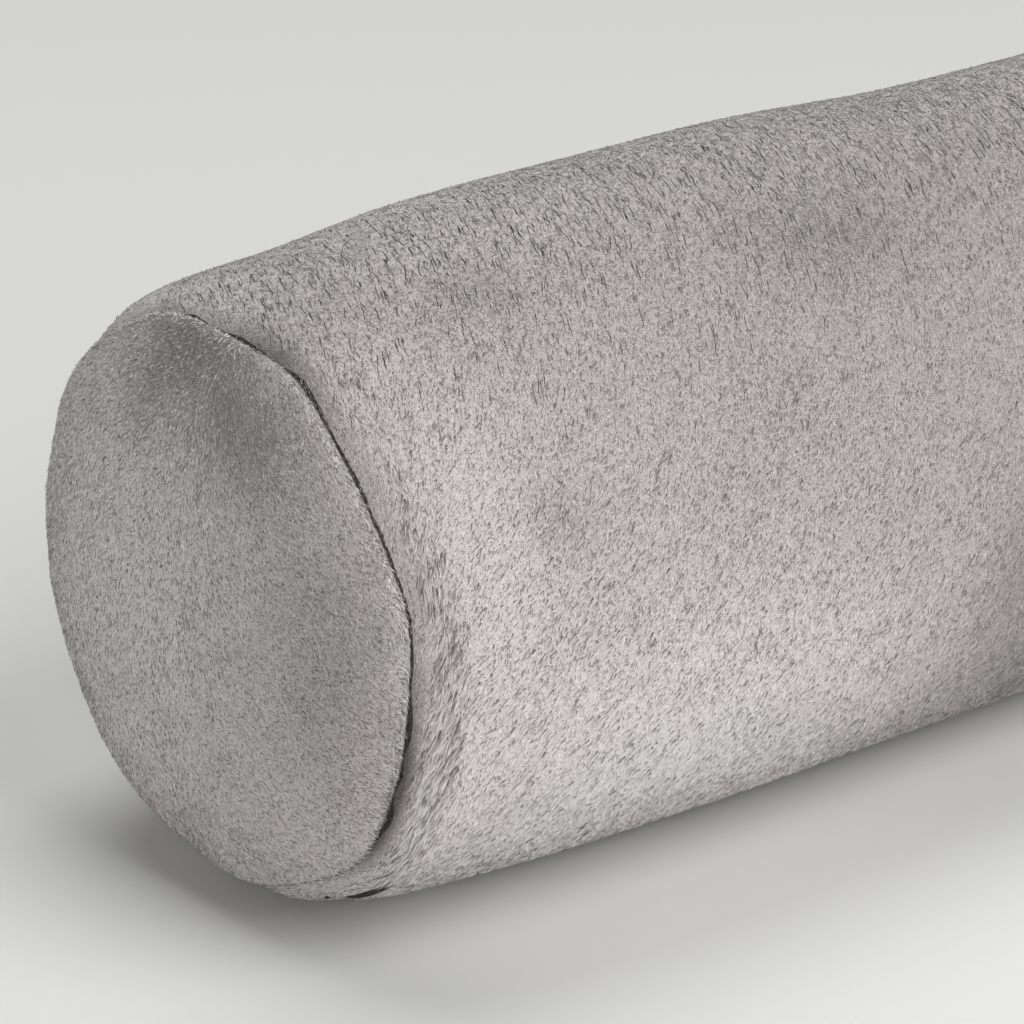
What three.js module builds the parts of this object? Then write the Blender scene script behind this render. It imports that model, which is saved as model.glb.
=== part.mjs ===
// Neck roll pillow: a filled plush roll lying on its side, in millimetres, +Z up.
// The roll's length runs along X. The origin is on the surface it lies on, under its middle.
// Angles run round the roll from +Y (0, its back) over +Z (90, its top) to -Y (180, its front).
import * as THREE from "three";

// Driving dimensions
const LENGTH = 400; // over the crowns of both end panels
const END_CROWN = 9; // how far an end panel's middle stands out past its seam
const CROWN_POWER = 3; // how flat that crown is over its middle
const AXIS_HEIGHT = 70.7; // the roll's middle line above the surface
const WIDER = 1.05; // the filling settles, so the roll is wider than tall by this ratio
const FLOOR_EASE = 1; // height over which the belly eases into its flat spot
const FLAT_REACH = 52; // from the middle of the flat spot to where it ends, along X
const FLAT_BOW = 0.135; // how far the belly's line has risen there
const PANEL_THICKNESS = 3; // plush cloth with its pile
const SEAM_GAP = 0.3; // between the body panel and an end panel along their seam
const PLUSH_GREY = 0xa69f9e;
const PLUSH_ROUGHNESS = 0.95;

// End seam: the panel's edge rolls over into a groove that is drawn in by the stitching
const RIM_ROLL = 2; // radius of the rolled edge of an end panel
const RIM_START = 31; // degrees from facing out along X, where the crown meets the rolled edge
const RIM_END = 150; // degrees, where the rolled edge meets the stitching
const GROOVE_DEPTH = 2.6; // how far the stitching draws in the body panel
const GROOVE_REACH = 1.7; // how far along the body panel that fades
const CORNER_SPREAD = 11; // degrees that a soft corner of the seam takes up
const CORNER_REACH = 26; // how far along the body panel the corners fade

// Closing seam: the body panel is one rectangle, closed into a tube by a seam under its front
const CLOSING_ANGLE = 250;
const CLOSING_DEPTH = 1.8;
const CLOSING_SPREAD = 1.3; // degrees

// Mesh steps
const ROUND_STEPS = 56;
const CLOSING_STEPS = [-3.2, -1.2, 0, 1.2, 3.2]; // degrees from the closing seam
const CROWN_STEPS = 6;
const RIM_STEPS = 5;
const INNER_STEPS = 4;
const BODY_STEPS = [0.7, 1.7, 3.2, 6, 10, 16, 25, 37, 52, 70, 92, 116, 139, 165]; // from each end seam

const SEAM_X = LENGTH / 2 - END_CROWN;
const SEAM_RADIUS = 63.4; // between the soft corners
const SEAM_TO_SEAM = 2 * SEAM_X;

// Where the cloth of the near end stands out between puckers or is drawn in, and how far
const SEAM_CORNERS = [
  { angle: 18, out: -1.9 },
  { angle: 45, out: 0.2 },
  { angle: 77, out: 1.6 },
  { angle: 115, out: 2.9 },
  { angle: 165, out: 2.7 },
  { angle: 223, out: 1.8 },
  { angle: 262, out: 1.2 },
  { angle: 303, out: 1.2 },
  { angle: 335, out: -0.8 },
  { angle: 356, out: -1.9 },
];

// The roll's sections. at: from the near seam, radius: mean, then extra radius on top, front and belly
const SECTIONS = [
  { at: 0, radius: 63.4, top: 0, front: 0, belly: 0.6 },
  { at: 6, radius: 66.9, top: 0.2, front: 0.5, belly: 2.6 },
  { at: 15, radius: 69.4, top: 0.2, front: 1, belly: 2.6 },
  { at: 38, radius: 72.4, top: -1.6, front: 1.3, belly: 1.6 },
  { at: 74, radius: 75.7, top: -0.9, front: 1, belly: 0 },
  { at: 120, radius: 75.8, top: 0.1, front: 0, belly: 0 },
  { at: 172, radius: 76.3, top: -0.3, front: -0.9, belly: 0 },
  { at: 226, radius: 76, top: -2.6, front: -0.6, belly: 0 },
  { at: 296, radius: 75.4, top: -1.2, front: 0.6, belly: 0 },
  { at: 342, radius: 72.6, top: -1, front: 0.5, belly: 1 },
  { at: 367, radius: 69.4, top: -0.4, front: 0.3, belly: 1.6 },
  { at: 376, radius: 66.9, top: 0, front: 0, belly: 1.6 },
  { at: SEAM_TO_SEAM, radius: 63.4, top: 0, front: 0, belly: 0.6 },
];

const FULL_TURN = 360;
const HALF_TURN = FULL_TURN / 2;

const radians = (degrees) => (degrees * Math.PI) / HALF_TURN;
const turnBetween = (a, b) => Math.abs(((a - b + FULL_TURN + HALF_TURN) % FULL_TURN) - HALF_TURN);
const bell = (x) => Math.exp(-x * x);

// One column of the sections table at a distance from the near seam, smooth through its rows
function column(name, at) {
  const last = SECTIONS.length - 2;
  let row = 0;
  while (row < last && at > SECTIONS[row + 1].at) {
    row += 1;
  }
  const slope = (i) => {
    const before = SECTIONS[Math.max(i - 1, 0)];
    const after = SECTIONS[Math.min(i + 1, SECTIONS.length - 1)];
    return (after[name] - before[name]) / (after.at - before.at);
  };
  const start = SECTIONS[row];
  const end = SECTIONS[row + 1];
  const span = end.at - start.at;
  const t = (at - start.at) / span;
  const rise = t * t * (3 - 2 * t);
  const bow = t * (1 - t) * span * (slope(row) * (1 - t) - slope(row + 1) * t);
  return start[name] * (1 - rise) + end[name] * rise + bow;
}

// How far the seam's soft corners stand out at an angle of the near end
function corners(angle) {
  return SEAM_CORNERS.reduce(
    (sum, corner) => sum + corner.out * bell(turnBetween(angle, corner.angle) / CORNER_SPREAD),
    0,
  );
}

const seamRadius = (angle) => SEAM_RADIUS + corners(angle);
const grooveRadius = (angle) => seamRadius(angle) - RIM_ROLL * (1 - Math.sin(radians(RIM_END)));

// How one end shapes the roll: its soft corners and the groove that its stitching draws in
function endShape(fromSeam, angle) {
  const soft = corners(angle) * Math.exp(-fromSeam / CORNER_REACH);
  return soft - GROOVE_DEPTH * bell(fromSeam / GROOVE_REACH);
}

// The filled roll's radius at a distance from the near seam. The far end is the near one turned round.
function bodyRadius(at, angle) {
  const up = Math.sin(radians(angle));
  const forward = Math.max(-Math.cos(radians(angle)), 0);
  const rise = column(up > 0 ? "top" : "belly", at) * up * up;
  const swell = column("front", at) * forward * forward;
  const ends = endShape(at, angle) + endShape(SEAM_TO_SEAM - at, HALF_TURN - angle);
  const closing = CLOSING_DEPTH * bell(turnBetween(angle, CLOSING_ANGLE) / CLOSING_SPREAD);
  return column("radius", at) + rise + swell + ends - closing;
}

// A point of the roll, with the belly eased onto the surface
function place(x, radius, angle) {
  const floor = FLAT_BOW * (x / FLAT_REACH) ** 2;
  const height = AXIS_HEIGHT + radius * Math.sin(radians(angle)) - floor;
  const eased = floor + FLOOR_EASE * Math.log1p(Math.exp(height / FLOOR_EASE));
  return new THREE.Vector3(x, WIDER * radius * Math.cos(radians(angle)), eased);
}

// The angles of every ring: even steps, with finer ones across the closing seam
function roundAngles() {
  const step = FULL_TURN / ROUND_STEPS;
  const fine = CLOSING_STEPS.map((turn) => CLOSING_ANGLE + turn);
  const even = Array.from({ length: ROUND_STEPS }, (_, i) => i * step);
  const clear = even.filter((angle) => fine.every((other) => turnBetween(angle, other) > step / 2));
  return [...clear, ...fine].sort((a, b) => a - b);
}

const ANGLES = roundAngles();

// A ring of points at one place along the roll
const ring = (pointAt) => ANGLES.map((angle) => pointAt(angle));

// A closed solid lofted from a first point through rings to a last point
function loft(first, rings, last) {
  const count = ANGLES.length;
  const points = [first, ...rings.flat(), last];
  const at = (row, step) => 1 + row * count + (step % count);
  const faces = [];
  for (let step = 0; step < count; step += 1) {
    faces.push(0, at(0, step + 1), at(0, step));
    for (let row = 0; row + 1 < rings.length; row += 1) {
      faces.push(at(row, step), at(row, step + 1), at(row + 1, step));
      faces.push(at(row, step + 1), at(row + 1, step + 1), at(row + 1, step));
    }
    faces.push(at(rings.length - 1, step), at(rings.length - 1, step + 1), points.length - 1);
  }
  const geometry = new THREE.BufferGeometry().setFromPoints(points);
  geometry.setIndex(faces);
  geometry.computeVertexNormals();
  return geometry;
}

// How far the inner face of the near end panel stands out past the seam, by its share of the radius
const innerCrown = (share) => (END_CROWN - PANEL_THICKNESS) * (1 - share ** CROWN_POWER);

// Rings of the hidden face between the filling and an end panel, from the groove towards the middle
function innerRings(offset) {
  const shares = Array.from({ length: INNER_STEPS }, (_, i) => 1 - i / INNER_STEPS);
  return shares.map((share) =>
    ring((angle) => place(-SEAM_X - innerCrown(share) + offset, grooveRadius(angle) * share, angle)),
  );
}

// The round end panel: a crowned disc of cloth whose edge rolls over into the seam
function endPanel() {
  const rimMiddle = -SEAM_X - SEAM_GAP / 2 + RIM_ROLL * Math.cos(radians(RIM_END));
  const crownEdge = rimMiddle - RIM_ROLL * Math.cos(radians(RIM_START));
  const rimRadius = (angle, turn) => seamRadius(angle) - RIM_ROLL * (1 - Math.sin(radians(turn)));
  const rings = [];
  for (let i = 1; i <= CROWN_STEPS; i += 1) {
    const share = i / CROWN_STEPS;
    const x = crownEdge - (LENGTH / 2 + crownEdge) * (1 - share ** CROWN_POWER);
    rings.push(ring((angle) => place(x, rimRadius(angle, RIM_START) * share, angle)));
  }
  for (let i = 1; i < RIM_STEPS; i += 1) {
    const turn = RIM_START + ((RIM_END - RIM_START) * i) / RIM_STEPS;
    const x = rimMiddle - RIM_ROLL * Math.cos(radians(turn));
    rings.push(ring((angle) => place(x, rimRadius(angle, turn), angle)));
  }
  rings.push(...innerRings(-SEAM_GAP / 2));
  const outer = place(-LENGTH / 2, 0, 0);
  const inner = place(-SEAM_X - innerCrown(0) - SEAM_GAP / 2, 0, 0);
  return loft(outer, rings, inner);
}

// The filled body panel: a barrel drawn in at both end seams, flat where it lies
function bodyRoll() {
  const nearEnd = innerRings(SEAM_GAP / 2).reverse();
  const turned = (points) => points.map((p) => new THREE.Vector3(-p.x, p.y, p.z));
  const farRadius = (angle) => grooveRadius(HALF_TURN - angle);
  const farEnd = innerRings(SEAM_GAP / 2).map((points, i) => {
    const share = 1 - i / INNER_STEPS;
    return turned(points).map((p, step) => place(p.x, farRadius(ANGLES[step]) * share, ANGLES[step]));
  });
  const fromNear = [...BODY_STEPS, SEAM_X];
  const fromFar = [...BODY_STEPS].reverse().map((at) => SEAM_TO_SEAM - at);
  const middle = [...fromNear, ...fromFar].map((at) =>
    ring((angle) => place(at - SEAM_X, bodyRadius(at, angle), angle)),
  );
  const crown = SEAM_X + innerCrown(0) - SEAM_GAP / 2;
  return loft(place(-crown, 0, 0), [...nearEnd, ...middle, ...farEnd], place(crown, 0, 0));
}

function plush(name, geometry) {
  const material = new THREE.MeshStandardMaterial({ color: PLUSH_GREY, roughness: PLUSH_ROUGHNESS });
  const mesh = new THREE.Mesh(geometry, material);
  mesh.name = name;
  return mesh;
}

const pillow = new THREE.Group();
const nearPanel = plush("end_panel_near", endPanel());
const farPanel = plush("end_panel_far", endPanel());
farPanel.rotation.z = Math.PI;
pillow.add(plush("body_roll", bodyRoll()), nearPanel, farPanel);

// Centre the roll over the origin, front to back, and set it on the surface
pillow.updateMatrixWorld(true);
const reach = new THREE.Box3().setFromObject(pillow);
pillow.position.y = -(reach.min.y + reach.max.y) / 2;
pillow.position.z = -reach.min.z;

export default pillow;
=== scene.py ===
"""Neck roll pillow in brushed plush, lying on a pale studio floor.

Sizes are in metres and angles in degrees, unless a name says otherwise. The roll runs along X, and
angles run round it from its back (0) over its top (90) to its front (180) and its belly (270). A place
on the body is its distance from the near seam. Tones run from dark (0) to light (1), and besides the
fibres' own colour they carry painted light and shade in places.
"""
import math

import bpy
import numpy as np
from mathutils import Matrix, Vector
from mathutils.bvhtree import BVHTree


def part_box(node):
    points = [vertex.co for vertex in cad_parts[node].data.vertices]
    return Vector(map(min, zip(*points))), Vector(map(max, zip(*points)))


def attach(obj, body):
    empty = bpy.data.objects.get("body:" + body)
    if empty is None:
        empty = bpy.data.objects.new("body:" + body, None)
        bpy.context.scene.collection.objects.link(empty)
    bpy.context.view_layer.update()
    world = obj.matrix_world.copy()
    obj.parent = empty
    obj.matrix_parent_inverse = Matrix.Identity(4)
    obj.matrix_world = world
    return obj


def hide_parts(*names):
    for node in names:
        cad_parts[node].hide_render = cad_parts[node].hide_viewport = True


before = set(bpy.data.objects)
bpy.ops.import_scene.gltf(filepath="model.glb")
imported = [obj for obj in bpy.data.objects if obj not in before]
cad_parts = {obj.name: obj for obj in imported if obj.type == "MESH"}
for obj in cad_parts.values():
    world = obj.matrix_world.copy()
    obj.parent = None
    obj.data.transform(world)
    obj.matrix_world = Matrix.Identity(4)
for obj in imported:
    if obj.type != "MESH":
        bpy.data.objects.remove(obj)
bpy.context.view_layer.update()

MM = 0.001
# Each random step adds its own number to this seed
SEED = 20
NO_LENGTH = 1e-12

# The roll, read from the frame
PANEL_LOW, PANEL_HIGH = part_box("end_panel_near")
SEAM_X = -PANEL_HIGH.x
AXIS_Z = (PANEL_HIGH.z + PANEL_LOW.z) / 2
AXIS = np.array([0, 0, AXIS_Z])
# Where the rays that find the skin start: out from the axis, and past an end
SIDE_RAY_START = 0.2
END_RAY_START = 0.4

# Cloth under the pile: its depth under the skin, and how much it is let in before the filling swells it
PILE_DEPTH = 0.45 * MM
SLACK = 1.0 * MM
FLOOR_CLEAR = 0.2 * MM
# The cloth simulation, and the least and most swelling that is kept of it
SIM_FRAMES = 20
SIM_SINK = 0.25 * MM
SIM_CAP = 3.0 * MM
CLOTH_SETTINGS = {
    "quality": 6,
    "mass": 0.25,
    "tension_stiffness": 4,
    "compression_stiffness": 4,
    "shear_stiffness": 2,
    "bending_stiffness": 0.5,
    "use_pressure": True,
    "uniform_pressure_force": 4.0,
}

# Mesh steps of the simulated grids, and of the finer ones made from them
SIM_ROUND = 96
SIM_ROWS = 72
SIM_CROWDING = 0.85
FIRST_ROW = 0.4 * MM
ROUND = 240
BODY_ROWS = 90
BODY_CROWDING = 0.9
PANEL_ROWS = 28
PANEL_FIRST_ROW = 0.02
LAST_ROW_MARGIN = 1e-6
# Rows of an end panel: shares of the way out to its edge, then distances from its seam
PANEL_SHARES = (0.06, 0.13, 0.2, 0.28, 0.36, 0.44, 0.52, 0.6, 0.68, 0.75, 0.82, 0.88, 0.93, 0.965)
RIM_PLACES = (2.9 * MM, 2.0 * MM, 1.1 * MM, 0.2 * MM)
EDGE_PLACE = RIM_PLACES[1]

# Camera of the photograph
CAMERA_PLACE = (-0.693404, -0.702295, 0.424311)
CAMERA_AZIMUTH = -39.754
CAMERA_ELEVATION = 21.133
CAMERA_LENS_MM = 150.86
CAMERA_CLIP_START = 0.05
SENSOR_MM = 36.0


def tree_of(node):
    return BVHTree.FromObject(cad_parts[node], bpy.context.evaluated_depsgraph_get())


def bell(x):
    return np.exp(-np.square(x))


def turn_between(a, b):
    """Degrees from b to a, between -180 and 180."""
    return (a - b + 180.0) % 360.0 - 180.0


def round_bell(angle, middle, span):
    """A bell round the roll: 1 at its middle angle, fading over its span."""
    return bell(turn_between(angle, middle) / span)


def ridge(angle, size, middle, span):
    """A bell of some size round the roll."""
    return size * round_bell(angle, middle, span)


def smooth_step(x, low, high):
    t = np.clip((x - low) / (high - low), 0, 1)
    return t * t * (3 - 2 * t)


def unit(v):
    return v / np.maximum(np.linalg.norm(v, axis=-1, keepdims=True), NO_LENGTH)


WAVE_COUNT = 14
WAVE_SPREAD = (0.7, 1.5)


def waves(points, wavelength, seed):
    """A smooth random field of about unit size over points, with bumps about a wavelength across."""
    rng = np.random.default_rng(seed)
    ways = unit(rng.normal(size=(WAVE_COUNT, 3)))
    pace = 2 * math.pi / (wavelength * rng.uniform(*WAVE_SPREAD, WAVE_COUNT))
    start = rng.uniform(0, 2 * math.pi, WAVE_COUNT)
    return np.sin(points @ (ways * pace[:, None]).T + start).sum(-1) * math.sqrt(2 / WAVE_COUNT)


# Surfaces as grids of points: rows run along the profile, columns round the roll


def from_axis(points):
    """The way from the roll's axis straight out to each point."""
    way = points - AXIS
    way[..., 0] = 0
    return way


def radial_hit(tree, x, angle):
    """The skin's point at a place along the roll and an angle."""
    way = Vector((0, math.cos(math.radians(angle)), math.sin(math.radians(angle))))
    axis = Vector((x, 0, AXIS_Z))
    return tree.ray_cast(axis + way * SIDE_RAY_START, -way)[0]


def round_angles(count):
    return np.arange(count) * 360.0 / count


def crowded(count, strength):
    """Steps from 0 to 1 that crowd at both ends."""
    share = np.linspace(0, 1, count)
    return share - strength * np.sin(2 * math.pi * share) / (2 * math.pi)


def body_skin():
    """The body panel's outer reach in the frame, and each row's distance from the near seam."""
    tree = tree_of("body_roll")
    at = FIRST_ROW + crowded(SIM_ROWS, SIM_CROWDING) * (2 * SEAM_X - 2 * FIRST_ROW)
    rows = [[radial_hit(tree, a - SEAM_X, t) for t in round_angles(SIM_ROUND)] for a in at]
    return np.array(rows), at


def panel_skin(node, side):
    """An end panel's outer reach in the frame, from its middle to its seam."""
    tree = tree_of(node)
    angles = round_angles(SIM_ROUND)
    inward = Vector((-side, 0, 0))
    edge = [radial_hit(tree, side * (SEAM_X + EDGE_PLACE), t) for t in angles]
    rows = []
    for share in PANEL_SHARES:
        across = [(spot.y * share, AXIS_Z + (spot.z - AXIS_Z) * share) for spot in edge]
        starts = [Vector((side * END_RAY_START, *yz)) for yz in across]
        rows.append([tree.ray_cast(start, inward)[0] for start in starts])
    for place in RIM_PLACES:
        rows.append([radial_hit(tree, side * (SEAM_X + place), t) for t in angles])
    return np.array(rows)


def grid_normals(points, outward):
    """A normal for each point of a grid that closes on itself from the last column to the first."""
    along = np.gradient(points, axis=0)
    around = np.roll(points, -1, axis=1) - np.roll(points, 1, axis=1)
    normals = unit(np.cross(around, along))
    flip = np.sign((normals * outward).sum(-1).mean())
    return normals * flip


def spline(places, take):
    """Values of a cubic B-spline at fractional places, where take gives its points by number."""
    low = np.floor(places).astype(int)
    t = (places - low)[:, None, None]
    weights = (
        (1 - t) ** 3 / 6,
        (3 * t**3 - 6 * t**2 + 4) / 6,
        (-3 * t**3 + 3 * t**2 + 3 * t + 1) / 6,
        t**3 / 6,
    )
    return sum(weight * take(low + step) for step, weight in enumerate(weights))


def finer(points, rows, columns):
    """A grid resampled on smooth curves along its points, at these rows and this many columns."""
    before = 2 * points[:1] - points[1:2]
    after = 2 * points[-1:] - points[-2:-1]
    longer = np.concatenate([before, points, after])
    places = np.clip(rows, 0, len(points) - 1 - LAST_ROW_MARGIN)
    tall = spline(places, lambda row: longer[np.clip(row, 0, len(longer) - 1)])
    wide = np.swapaxes(tall, 0, 1)
    count = len(wide)
    fine = spline(np.arange(columns) * count / columns, lambda column: wide[(column - 1) % count])
    return np.swapaxes(fine, 0, 1)


def grid_faces(rows, columns, flip):
    index = np.arange(rows * columns).reshape(rows, columns)
    following = np.roll(index, -1, axis=1)
    quads = np.stack([index[:-1], index[1:], following[1:], following[:-1]], -1).reshape(-1, 4)
    return quads[:, ::-1] if flip else quads


def grid_mesh(name, points, flip, capped=False):
    """A grid as a mesh, its first row closed by one face if capped."""
    mesh = bpy.data.meshes.new(name)
    rows, columns = points.shape[:2]
    faces = grid_faces(rows, columns, flip).tolist()
    if capped:
        ring = list(range(columns))
        faces.append(ring if flip else ring[::-1])
    mesh.from_pydata(points.reshape(-1, 3).tolist(), [], faces)
    mesh.update()
    return mesh


def add_filling(piece, held):
    """Makes a piece cloth that the filling's pressure swells, with its held points pinned."""
    piece.vertex_groups.new(name="seam").add(held, 1.0, "REPLACE")
    cloth = piece.modifiers.new("filling", "CLOTH")
    for name, value in CLOTH_SETTINGS.items():
        setattr(cloth.settings, name, value)
    cloth.settings.vertex_group_mass = "seam"
    cloth.settings.effector_weights.gravity = 0
    cloth.point_cache.frame_start = 1
    cloth.point_cache.frame_end = SIM_FRAMES


def simulated(piece):
    """The piece's points after the simulation."""
    for step in range(1, SIM_FRAMES + 1):
        bpy.context.scene.frame_set(step)
    done = piece.evaluated_get(bpy.context.evaluated_depsgraph_get()).to_mesh()
    moved = np.empty(len(done.vertices) * 3, np.float32)
    done.vertices.foreach_get("co", moved)
    return moved.astype(float)


def filled(name, points, normals, pinned, flip, capped=False):
    """The grid swollen by the filling, held along its pinned rows."""
    mesh = grid_mesh(name + "_sim", points, flip, capped)
    piece = bpy.data.objects.new(name + "_sim", mesh)
    bpy.context.scene.collection.objects.link(piece)
    index = np.arange(len(mesh.vertices)).reshape(points.shape[:2])
    add_filling(piece, index[list(pinned)].ravel().tolist())
    move = simulated(piece).reshape(points.shape) - points
    bpy.data.objects.remove(piece)
    bpy.data.meshes.remove(mesh)
    bpy.context.scene.frame_set(1)
    swell = np.clip((move * normals).sum(-1, keepdims=True), -SIM_SINK, SIM_CAP)
    return points + normals * swell


# Materials

WHITE = (1.0, 1.0, 1.0)
PILE_DARK = (0.16, 0.142, 0.14)
PILE_MIDDLE = (0.78, 0.735, 0.73)
PILE_LIGHT = (0.93, 0.90, 0.90)
ROOT_SHADE = (0.64, 0.62, 0.62)
TONE_RAMP = ((0.0, PILE_DARK), (0.5, PILE_MIDDLE), (1.0, PILE_LIGHT))
HEIGHT_RAMP = ((0.0, ROOT_SHADE), (0.75, WHITE))
KNIT_RAMP = ((0.3, (0.55, 0.54, 0.54)), (0.7, (1.0, 0.99, 0.99)))
# Painted shade for the bottom of the seams
SEAM_SHADE_RAMP = ((0.3, (0.025, 0.02, 0.019)), (0.7, (0.075, 0.063, 0.062)))
# Scale and detail of the noise in a cloth
KNIT_NOISE = (2400, 3)
SEAM_SHADE_NOISE = (900, 2)
KNIT_BUMP = {"Strength": 0.5, "Distance": 0.3 * MM}
PILE_FINISH = {
    "Roughness": 0.85,
    "Specular IOR Level": 0.15,
    "Sheen Weight": 0.5,
    "Sheen Roughness": 0.45,
}
CLOTH_FINISH = {"Roughness": 0.95}
SEAM_SHADE_FINISH = {"Roughness": 0.95, "Specular IOR Level": 0.05}


def new_material(name):
    material = bpy.data.materials.new(name)
    material.use_nodes = True
    return material, material.node_tree, material.node_tree.nodes["Principled BSDF"]


def set_inputs(node, values):
    for name, value in values.items():
        node.inputs[name].default_value = value


def ramp_of(tree, value, stops):
    """The colours of a ramp by a value."""
    ramp = tree.nodes.new("ShaderNodeValToRGB")
    elements = ramp.color_ramp.elements
    while len(elements) < len(stops):
        elements.new(0.5)
    for element, (place, colour) in zip(elements, stops):
        element.position = place
        element.color = (*colour, 1.0)
    tree.links.new(value, ramp.inputs["Fac"])
    return ramp.outputs["Color"]


def product_of(tree, first, second):
    mix = tree.nodes.new("ShaderNodeMix")
    mix.data_type = "RGBA"
    mix.blend_type = "MULTIPLY"
    mix.inputs["Factor"].default_value = 1.0
    tree.links.new(first, mix.inputs["A"])
    tree.links.new(second, mix.inputs["B"])
    return mix.outputs["Result"]


def noise_of(tree, scale, detail):
    """Noise that is fixed to the piece."""
    place = tree.nodes.new("ShaderNodeTexCoord")
    noise = tree.nodes.new("ShaderNodeTexNoise")
    set_inputs(noise, {"Scale": scale, "Detail": detail})
    tree.links.new(place.outputs["Object"], noise.inputs["Vector"])
    return noise.outputs["Fac"]


def pile_material():
    """Plush fibres: across the map from dark to light tones, which hold painted light and shade as well
    as the fibres' own colour, and up it from root to tip, darker at the root as painted shade.
    """
    material, tree, shader = new_material("plush_pile")
    chart = tree.nodes.new("ShaderNodeUVMap")
    chart.uv_map = "OFBake"
    parts = tree.nodes.new("ShaderNodeSeparateXYZ")
    tree.links.new(chart.outputs["UV"], parts.inputs["Vector"])
    tone = ramp_of(tree, parts.outputs["X"], TONE_RAMP)
    height = ramp_of(tree, parts.outputs["Y"], HEIGHT_RAMP)
    tree.links.new(product_of(tree, tone, height), shader.inputs["Base Color"])
    set_inputs(shader, PILE_FINISH)
    return material


def cloth_material():
    """The knitted ground that the pile stands in, in the tone of the pile around."""
    material, tree, shader = new_material("plush_ground")
    knit = noise_of(tree, *KNIT_NOISE)
    brushed = tree.nodes.new("ShaderNodeAttribute")
    brushed.attribute_name = "tone"
    tone = ramp_of(tree, brushed.outputs["Fac"], TONE_RAMP)
    colour = product_of(tree, tone, ramp_of(tree, knit, KNIT_RAMP))
    tree.links.new(colour, shader.inputs["Base Color"])
    bump = tree.nodes.new("ShaderNodeBump")
    set_inputs(bump, KNIT_BUMP)
    tree.links.new(knit, bump.inputs["Height"])
    tree.links.new(bump.outputs["Normal"], shader.inputs["Normal"])
    set_inputs(shader, CLOTH_FINISH)
    return material


def seam_shade_material():
    """Painted shade: the dark cloth and thread at the bottom of a seam, coloured as in shadow."""
    material, tree, shader = new_material("painted_seam_shade")
    thread = noise_of(tree, *SEAM_SHADE_NOISE)
    tree.links.new(ramp_of(tree, thread, SEAM_SHADE_RAMP), shader.inputs["Base Color"])
    set_inputs(shader, SEAM_SHADE_FINISH)
    return material


# Covers

# The near seam gapes low on the front, and under it a short fold, the mouth, stands open
WIDE_ANGLE = 207
WIDE_SPAN = 25
MOUTH_PLACE = 8.6 * MM
MOUTH_HALF = 2.2 * MM
MOUTH_ENDS = (227.5, 242.0, 250.0)
MOUTH_DEPTH = 0.5 * MM
# Grooves along the near seam and where it gapes
GROOVE_DEPTH = 0.6 * MM
GROOVE_REACH = 0.9 * MM
WIDE_DEPTH = 1.6 * MM
WIDE_REACH = 1.9 * MM
# Ridges by size, angle and span: the closing seam under the front, which is drawn in, and two swells,
# low on the front away from both ends, and beside the near seam behind the top
CLOSING_SEAM = (0.8 * MM, 247, 1.6)
FRONT_SWELL = (1.7 * MM, 224, 17)
FRONT_SWELL_ENDS = (70 * MM, 130 * MM)
BACK_SWELL = (1.1 * MM, 58, 16)
BACK_SWELL_PLACE = 5 * MM
BACK_SWELL_REACH = 6 * MM
# Puckers along both end seams, and lumps in the filling
PUCKERS = 30
PUCKER_SHIFT = 4
PUCKER_DEPTH_MM = (-0.3, 0.8)
PUCKER_SPAN = (1.6, 3.2)
PUCKER_REACH_MM = (5, 13)
LUMP_HEIGHT = 0.15 * MM
LUMP_LENGTH = 90 * MM
LUMP_FADE = 25 * MM


def wide_share(angle):
    return round_bell(angle, WIDE_ANGLE, WIDE_SPAN)


def mouth_share(angle):
    """How far the fold stands open along its length."""
    first, widest, last = MOUTH_ENDS
    off = angle - widest
    t = np.where(off < 0, off / (widest - first), off / (last - widest))
    return np.sqrt(np.clip(1 - t**2, 0, 1))


def seam_drop(near, angle):
    """How deep the near seam, the closing seam and the mouth are drawn into the body."""
    drop = GROOVE_DEPTH * bell(near / GROOVE_REACH)
    drop = drop + WIDE_DEPTH * wide_share(angle) * bell(near / WIDE_REACH)
    drop += ridge(angle, *CLOSING_SEAM)
    drop += MOUTH_DEPTH * bell((near - MOUTH_PLACE) / MOUTH_HALF) * mouth_share(angle)
    return drop


def swell_rise(near, far, angle):
    """How high the two swells stand out of the body."""
    between = smooth_step(near, *FRONT_SWELL_ENDS) * smooth_step(far, *FRONT_SWELL_ENDS)
    beside = bell((near - BACK_SWELL_PLACE) / BACK_SWELL_REACH)
    return ridge(angle, *FRONT_SWELL) * between + ridge(angle, *BACK_SWELL) * beside


def pucker_drop(near, far, angle):
    """How deep the seams' thread draws the body in at its puckers, or lets it stand out."""
    rng = np.random.default_rng(SEED)
    drop = 0
    for end in (near, far):
        for middle in round_angles(PUCKERS) + rng.uniform(-PUCKER_SHIFT, PUCKER_SHIFT, PUCKERS):
            depth = rng.uniform(*PUCKER_DEPTH_MM) * MM
            span = rng.uniform(*PUCKER_SPAN)
            reach = rng.uniform(*PUCKER_REACH_MM) * MM
            drop = drop + ridge(angle, depth, middle, span) * np.exp(-end / reach)
    return drop


def body_details(points, normals, at):
    """The body's fine grid with its seams, swells, puckers and lumps."""
    angle = round_angles(points.shape[1])[None, :]
    near = at[:, None]
    far = 2 * SEAM_X - near
    lumps = LUMP_HEIGHT * waves(points, LUMP_LENGTH, SEED + 1)
    lumps *= np.clip(np.minimum(near, far) / LUMP_FADE, 0, 1)
    drop = seam_drop(near, angle) - swell_rise(near, far, angle) + pucker_drop(near, far, angle) - lumps
    return points - normals * drop[..., None]


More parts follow.
